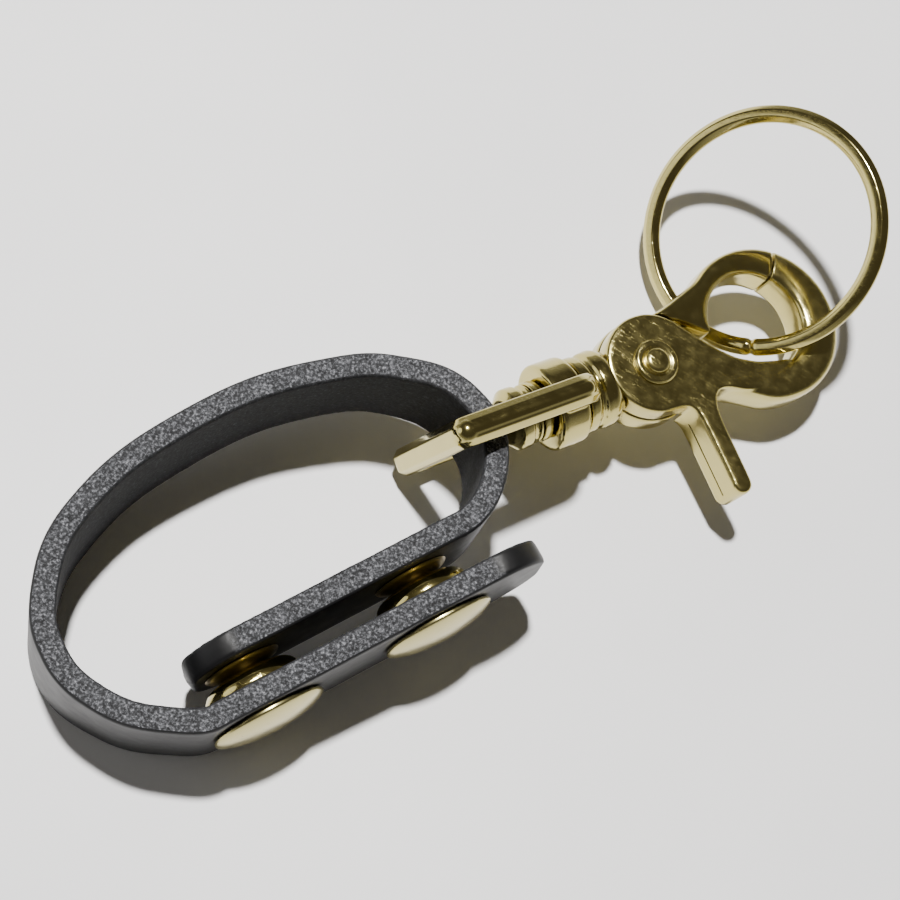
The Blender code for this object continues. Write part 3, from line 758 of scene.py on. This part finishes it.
eye_outer = box_outline(EYE_FAR, EYE_NEAR, EYE_HALF_HEIGHT, 3.4, 1.6)
eye_window = box_outline(EYE_FAR + EYE_FAR_BAR, EYE_NEAR - EYE_NEAR_BAR, EYE_HALF_HEIGHT - EYE_BAR, 0.8, 0.5)
eye_bar = prism("eye_bar", [eye_outer, eye_window[::-1]], -EYE_DEPTH / 2.0, EYE_DEPTH / 2.0, 0.75, 0)
eye_bar.transform(flat_to_eye)
boss = lathe("eye_boss", [(0.0, -1.9), (BOSS_RADIUS, -1.9), (BOSS_RADIUS, 1.9), (0.0, 1.9)], 0.6)
boss.transform(along_axis)
RIB_RADIUS = 1.0
RIB_RISE = 0.32
KNOB_RADIUS = 1.5
RIB_NEAR = EYE_NEAR - 1.6
RIB_FAR = EYE_FAR + KNOB_RADIUS
rib = lathe("eye_rib", [(0.0, RIB_FAR)] + [(RIB_RADIUS, RIB_FAR), (RIB_RADIUS, RIB_NEAR - RIB_RADIUS)]
            + arc((0.0, RIB_NEAR - RIB_RADIUS), RIB_RADIUS, 0.0, QUARTER, 10)[1:-1]
            + [(0.0, RIB_NEAR)], 0.01, 40)
rib.transform(shift(0.0, 0.0, EYE_HALF_HEIGHT - RIB_RADIUS + RIB_RISE) @ along_axis)
knob = lathe("eye_knob", [(0.0, -KNOB_RADIUS)] + arc((0.0, 0.0), KNOB_RADIUS, -QUARTER, QUARTER, 24)[1:-1]
             + [(0.0, KNOB_RADIUS)], 0.01, 40)
knob.transform(shift(RIB_FAR, 0.0, EYE_HALF_HEIGHT - KNOB_RADIUS + RIB_RISE))
eye_mesh = cast(union("strap_eye_cast", [eye_bar, boss, rib, knob]), 0.12, 4)
finish_piece("strap_eye_cast", eye_mesh, eye_frame, "eye", BRASS, ["strap_eye"])

# ------------------------------------------------------------ swivel
washer_near = -EYE_NEAR_BAR / 2.0 - 0.3
washer_far = washer_near - 1.1
head = washer_far - 0.2
stud_mesh = lathe("swivel_pin", [(0.0, head - 3.3), (2.6, head - 3.3), (3.6, head - 2.5), (3.6, head - 1.2),
                                 (3.05, head - 0.95), (3.05, head - 0.5), (3.4, head - 0.25), (3.4, head),
                                 (1.95, head), (1.95, 4.4), (0.0, 4.4)], 0.25)
stud_mesh.transform(along_axis)
finish_piece("swivel_pin", stud_mesh, swivel_frame, "hook", BRASS, ["swivel_stud"])
washer_mesh = lathe("washer", [(2.15, washer_far), (3.5, washer_far), (3.5, washer_near),
                               (2.15, washer_near)], 0.2)
washer_mesh.transform(along_axis)
finish_piece("washer", washer_mesh, swivel_frame, "eye", BRASS, ["swivel_washer"])


# ------------------------------------------------------------ hook body
def on_arc(centre, radius, angle):
    return (centre[0] + radius * math.cos(angle), centre[1] + radius * math.sin(angle))


SEAM_REACH = math.radians(14.0)
SEAM_BLOCK = 8.0
SEAM_BLOCK_HALF = 6.0
BAR_VOXEL = 0.2
ROUNDING = 170
CAST_VOXEL = 0.14
seam_out = on_arc(LOOP_CENTRE, LOOP_RADIUS, SEAM_OUTER)
seam_in = on_arc(EYE_CENTRE, EYE_RADIUS, SEAM_INNER)
seam_step = Vector((seam_out[0] - seam_in[0], seam_out[1] - seam_in[1])).normalized()
seam_side = Vector((seam_step.y, -seam_step.x))


def seam_cutter(start, reach):
    """A block whose near side lies along the seam, start mm across it, reaching to one side."""
    near = Vector(seam_in) - 4.0 * seam_step
    far = Vector(seam_out) + 4.0 * seam_step
    corners = [near + start * seam_side, far + start * seam_side,
               far + reach * seam_side, near + reach * seam_side]
    return prism("seam_cutter", [[tuple(corner) for corner in corners]], -SEAM_BLOCK_HALF, SEAM_BLOCK_HALF)


def round_bar(name, outline, low, high):
    return cast(prism(name, [outline], low, high), BAR_VOXEL, ROUNDING)


disc_clear = DISC_RADIUS + 0.42
jaw_outline = arc(LOOP_CENTRE, LOOP_RADIUS, SEAM_OUTER - SEAM_REACH, math.radians(128.0), 48)
jaw_outline += [(5.0, 6.2), (1.0, 5.2), (1.6, 3.6), (5.2, 4.2), (9.2, 0.9)]
jaw_outline += arc(EYE_CENTRE, EYE_RADIUS, math.radians(172.0), SEAM_INNER - SEAM_REACH, 64)
jaw = cut(round_bar("body_jaw", jaw_outline, -JAW_HALF, JAW_HALF), seam_cutter(0.0, SEAM_BLOCK))
jaw = cut(jaw, cylinder("clear", disc_clear, BODY_TOP - 0.02, 8.0))
disc = cylinder("body_disc", BODY_DISC_RADIUS, BODY_BOTTOM, BODY_TOP, 0.6)
neck_profile = [(0.0, NECK_END), (NECK_RADIUS, NECK_END), (NECK_RADIUS, -9.0), (NECK_RADIUS - 0.5, -8.7),
                (NECK_RADIUS - 0.5, -8.3), (NECK_RADIUS, -8.0), (NECK_RADIUS + 0.1, -6.7),
                (2.4, -2.2), (0.0, -2.2)]
neck = lathe("body_neck", neck_profile, 0.3)
neck.transform(along_axis)
neck = cut(neck, cylinder("clear", disc_clear, BODY_TOP - 0.02, 8.0))
body_mesh = cast(union("hook_frame_cast", [disc, jaw, neck]), CAST_VOXEL, 3)
body_mesh = cut(body_mesh, seam_cutter(0.0, SEAM_BLOCK))
body_mesh.shade_smooth()
body_mesh.set_sharp_from_angle(angle=SHARP_ANGLE)
finish_piece("hook_frame_cast", body_mesh, hook_frame, "hook", BRASS, ["hook_body"])

# ------------------------------------------------------------ moving jaw and thumb lever
moving = arc(LOOP_CENTRE, LOOP_RADIUS, SEAM_OUTER + SEAM_REACH, math.radians(-112.0), 72)
moving += [(9.6, -6.9), (7.6, -5.7), (5.4, -4.0), (4.4, 0.0), (6.3, 1.7), (8.4, -1.1), (10.2, -3.1)]
moving += arc(EYE_CENTRE, EYE_RADIUS, math.radians(-125.0), SEAM_INNER + SEAM_REACH, 72)
moving_jaw = cut(round_bar("moving_jaw", moving, -JAW_HALF, JAW_HALF + 0.15),
                 seam_cutter(SEAM_GAP, -SEAM_BLOCK))
plate = [(17.8, -4.95), (15.6, -6.3), (13.2, -7.1), (11.4, -7.25), (9.6, -6.75), (7.6, -5.7), (6.5, -5.5),
         (5.6, -6.1), (5.05, -7.4), (4.85, -9.5), (4.85, -15.8)]
plate += arc((3.6, -16.6), 1.25, math.radians(15.0), math.radians(-195.0), 16)
plate += [(2.4, -9.5), (2.35, -7.4), (1.9, -6.3), (0.9, -5.98)]
plate += arc((0.0, 0.0), DISC_RADIUS, math.radians(-105.0), math.radians(-329.0), 90)
plate += [(6.6, 1.35), (8.4, -0.75), (10.4, -2.6), (12.8, -3.85), (15.2, -4.5)]
plate_mesh = prism("lever_plate", [filleted(plate, 0.6, 2)], -JAW_HALF, FACE_TOP, 0.38, 3)
TONGUE_FROM = 6.0
TONGUE_TO = 17.8
TONGUE_FALL = 0.62
for vert in plate_mesh.vertices:
    along = (vert.co.x / MM - TONGUE_FROM) / (TONGUE_TO - TONGUE_FROM)
    if along > 0.0 and vert.co.z > 0.0:
        vert.co.z -= TONGUE_FALL * min(1.0, along) * MM
under = cylinder("under", BODY_DISC_RADIUS + 0.4, -8.0, FACE_SPLIT)
plate_mesh = cast(plate_mesh, 0.16, 26)
lever_mesh = cut(cast(union("lever_cast", [plate_mesh, moving_jaw]), CAST_VOXEL, 4), under)
CREASE_Z = -0.25
for wall in (2.36, 4.88):
    groove = lathe("groove", [(0.0, 0.0), (0.15, 0.0), (0.15, 9.2), (0.0, 9.2)], 0.01, 4)
    groove.transform(shift(wall, -7.6, CREASE_Z) @ Matrix.Rotation(QUARTER, 4, "X"))
    lever_mesh = cut(lever_mesh, groove)
lever_mesh = cut(lever_mesh, seam_cutter(SEAM_GAP, -SEAM_BLOCK))
lever_mesh.shade_smooth()
lever_mesh.set_sharp_from_angle(angle=SHARP_ANGLE)
finish_piece("lever_cast", lever_mesh, hook_frame, "lever", BRASS_WORN, ["hook_lever"])

# ------------------------------------------------------------ pivot rivet and torsion spring
low = BODY_BOTTOM - 0.02
high = FACE_TOP + 0.02
RIVET_SHANK = 1.4
rivet = lathe("rivet", [(0.0, low - 0.6), (RIVET_HEAD - 0.5, low - 0.6), (RIVET_HEAD, low - 0.25),
                        (RIVET_HEAD, low), (RIVET_SHANK, low), (RIVET_SHANK, high), (RIVET_HEAD, high),
                        (RIVET_HEAD, high + 0.2),
                        (RIVET_HEAD - 0.3, high + 0.5), (1.95, high + 0.5), (1.6, high + 0.3),
                        (1.45, high + 0.7),
                        (1.1, high + 0.9), (0.0, high + 0.95)], 0.12)
finish_piece("rivet", rivet, hook_frame, "hook", BRASS_WORN, ["pivot_rivet"])

coil = bpy.data.curves.new("lever_spring", "CURVE")
coil.dimensions = "3D"
coil.bevel_depth = COIL_WIRE * MM
coil.bevel_resolution = 4
coil.use_fill_caps = True
helix = coil.splines.new("POLY")
COIL_STEPS = 160
helix.points.add(COIL_STEPS)
coil_low = BODY_TOP - 1.3 + COIL_WIRE + 0.08
coil_high = FACE_SPLIT - COIL_WIRE - 0.35
for step, point in enumerate(helix.points):
    share = step / COIL_STEPS
    angle = 2.0 * TURN * share
    point.co = (COIL_RADIUS * math.cos(angle) * MM, COIL_RADIUS * math.sin(angle) * MM,
                (coil_low + (coil_high - coil_low) * share) * MM, 1.0)
wire = solved(add("lever_spring", coil))
wire.shade_smooth()
finish_piece("lever_spring", wire, hook_frame, "hook", STEEL, ["torsion_spring"])

# ------------------------------------------------------------ key ring
ring_in = RING_OUTER - RING_BAND
half_d = RING_DEPTH / 2.0
ring_profile = [(ring_in, -half_d), (RING_OUTER, -half_d), (RING_OUTER, half_d), (ring_in, half_d)]
ring_mesh = lathe("flat_ring", filleted(ring_profile, 0.62, 1), 0.16, 480)
SEAM_AT = math.radians(57.0)
PINCH_DEPTH = 0.22
PINCH_WIDTH = 0.32
middle = (ring_in + RING_OUTER) / 2.0
for vert in ring_mesh.vertices:
    radius = math.hypot(vert.co.x, vert.co.y) / MM
    angle = math.atan2(vert.co.y, vert.co.x) - SEAM_AT
    angle = (angle + math.pi) % TURN - math.pi
    pinch = 1.0 - PINCH_DEPTH * math.exp(-(angle * middle / PINCH_WIDTH) ** 2)
    wanted = middle + (radius - middle) * pinch
    vert.co.x *= wanted / radius
    vert.co.y *= wanted / radius
    vert.co.z *= pinch
ring_turn = Matrix.Rotation(RING_AZIMUTH, 4, "Z") @ Matrix.Rotation(RING_TILT, 4, "Y")
finish_piece("flat_ring", ring_mesh, shift(*RING_AT) @ ring_turn, "ring", BRASS, ["key_ring"])


# ------------------------------------------------------------ floor, light and camera
def floor_material():
    m = Nodes("pale_floor", (0.78, 0.78, 0.79), 0.0, 0.55)
    soft = m.noise(14.0, 4.0)
    m.link(m.ramp(soft, [(0.30, (0.74, 0.74, 0.755)), (0.70, (0.81, 0.81, 0.82))]),
           m.shader.inputs["Base Color"])
    m.bump([(m.noise(160.0, 3.0), 0.06, 0.2)])
    return m.mat


FLOOR_REACH = 5.0
work = bmesh.new()
bmesh.ops.create_grid(work, x_segments=8, y_segments=8, size=FLOOR_REACH)
floor_mesh = mesh_of(work, "floor")
floor_mesh.materials.append(floor_material())
floor = add("floor", floor_mesh)


def area_light(name, toward, distance, size, power, colour):
    data = bpy.data.lights.new(name, "AREA")
    data.shape = "DISK"
    data.size = size
    data.energy = power
    data.color = colour
    lamp = bpy.data.objects.new(name, data)
    bpy.context.scene.collection.objects.link(lamp)
    way = Vector(toward).normalized()
    lamp.location = way * distance
    lamp.rotation_mode = "QUATERNION"
    lamp.rotation_quaternion = way.to_track_quat("Z", "Y")


KEY_AZIMUTH = math.radians(142.0)
KEY_HEIGHT = math.radians(75.0)
key_way = (math.cos(KEY_AZIMUTH) * math.cos(KEY_HEIGHT), math.sin(KEY_AZIMUTH) * math.cos(KEY_HEIGHT),
           math.sin(KEY_HEIGHT))
SIDE_WAY = (-0.85, -0.45, 0.38)
area_light("key", key_way, distance=0.72, size=0.045, power=12.5, colour=(1.0, 0.985, 0.96))
area_light("side", SIDE_WAY, distance=0.9, size=0.6, power=1.2, colour=(0.97, 0.98, 1.0))

world = bpy.data.worlds.new("studio")
bpy.context.scene.world = world
world.use_nodes = True
tree = world.node_tree
background = tree.nodes["Background"]
direction = tree.nodes.new("ShaderNodeTexCoord").outputs["Generated"]
split = tree.nodes.new("ShaderNodeSeparateXYZ")
tree.links.new(direction, split.inputs["Vector"])
sky = tree.nodes.new("ShaderNodeValToRGB")
SKY_STOPS = ((0.06, (0.45, 0.45, 0.44, 1.0)), (0.45, (0.080, 0.073, 0.060, 1.0)))
for element, (place, colour) in zip(sky.color_ramp.elements, SKY_STOPS):
    element.position = place
    element.color = colour
tree.links.new(split.outputs["Z"], sky.inputs["Fac"])
tree.links.new(sky.outputs["Color"], background.inputs["Color"])
background.inputs["Strength"].default_value = 1.0

LENS = 68.11
SENSOR_WIDTH = 36.0
CAMERA_TILT = math.radians(22.003)
CAMERA_ROLL = math.radians(28.862)
camera_data = bpy.data.cameras.new("camera")
camera_data.lens = LENS
camera_data.sensor_width = SENSOR_WIDTH
camera_data.clip_start = 0.005
camera = bpy.data.objects.new("camera", camera_data)
bpy.context.scene.collection.objects.link(camera)
EYE_POINT = Vector((0.0, -74.932, 185.433)) - CENTRE
camera.matrix_world = (Matrix.Translation(EYE_POINT * MM) @ Matrix.Rotation(CAMERA_TILT, 4, "X")
                       @ Matrix.Rotation(CAMERA_ROLL, 4, "Z"))
bpy.context.scene.camera = camera
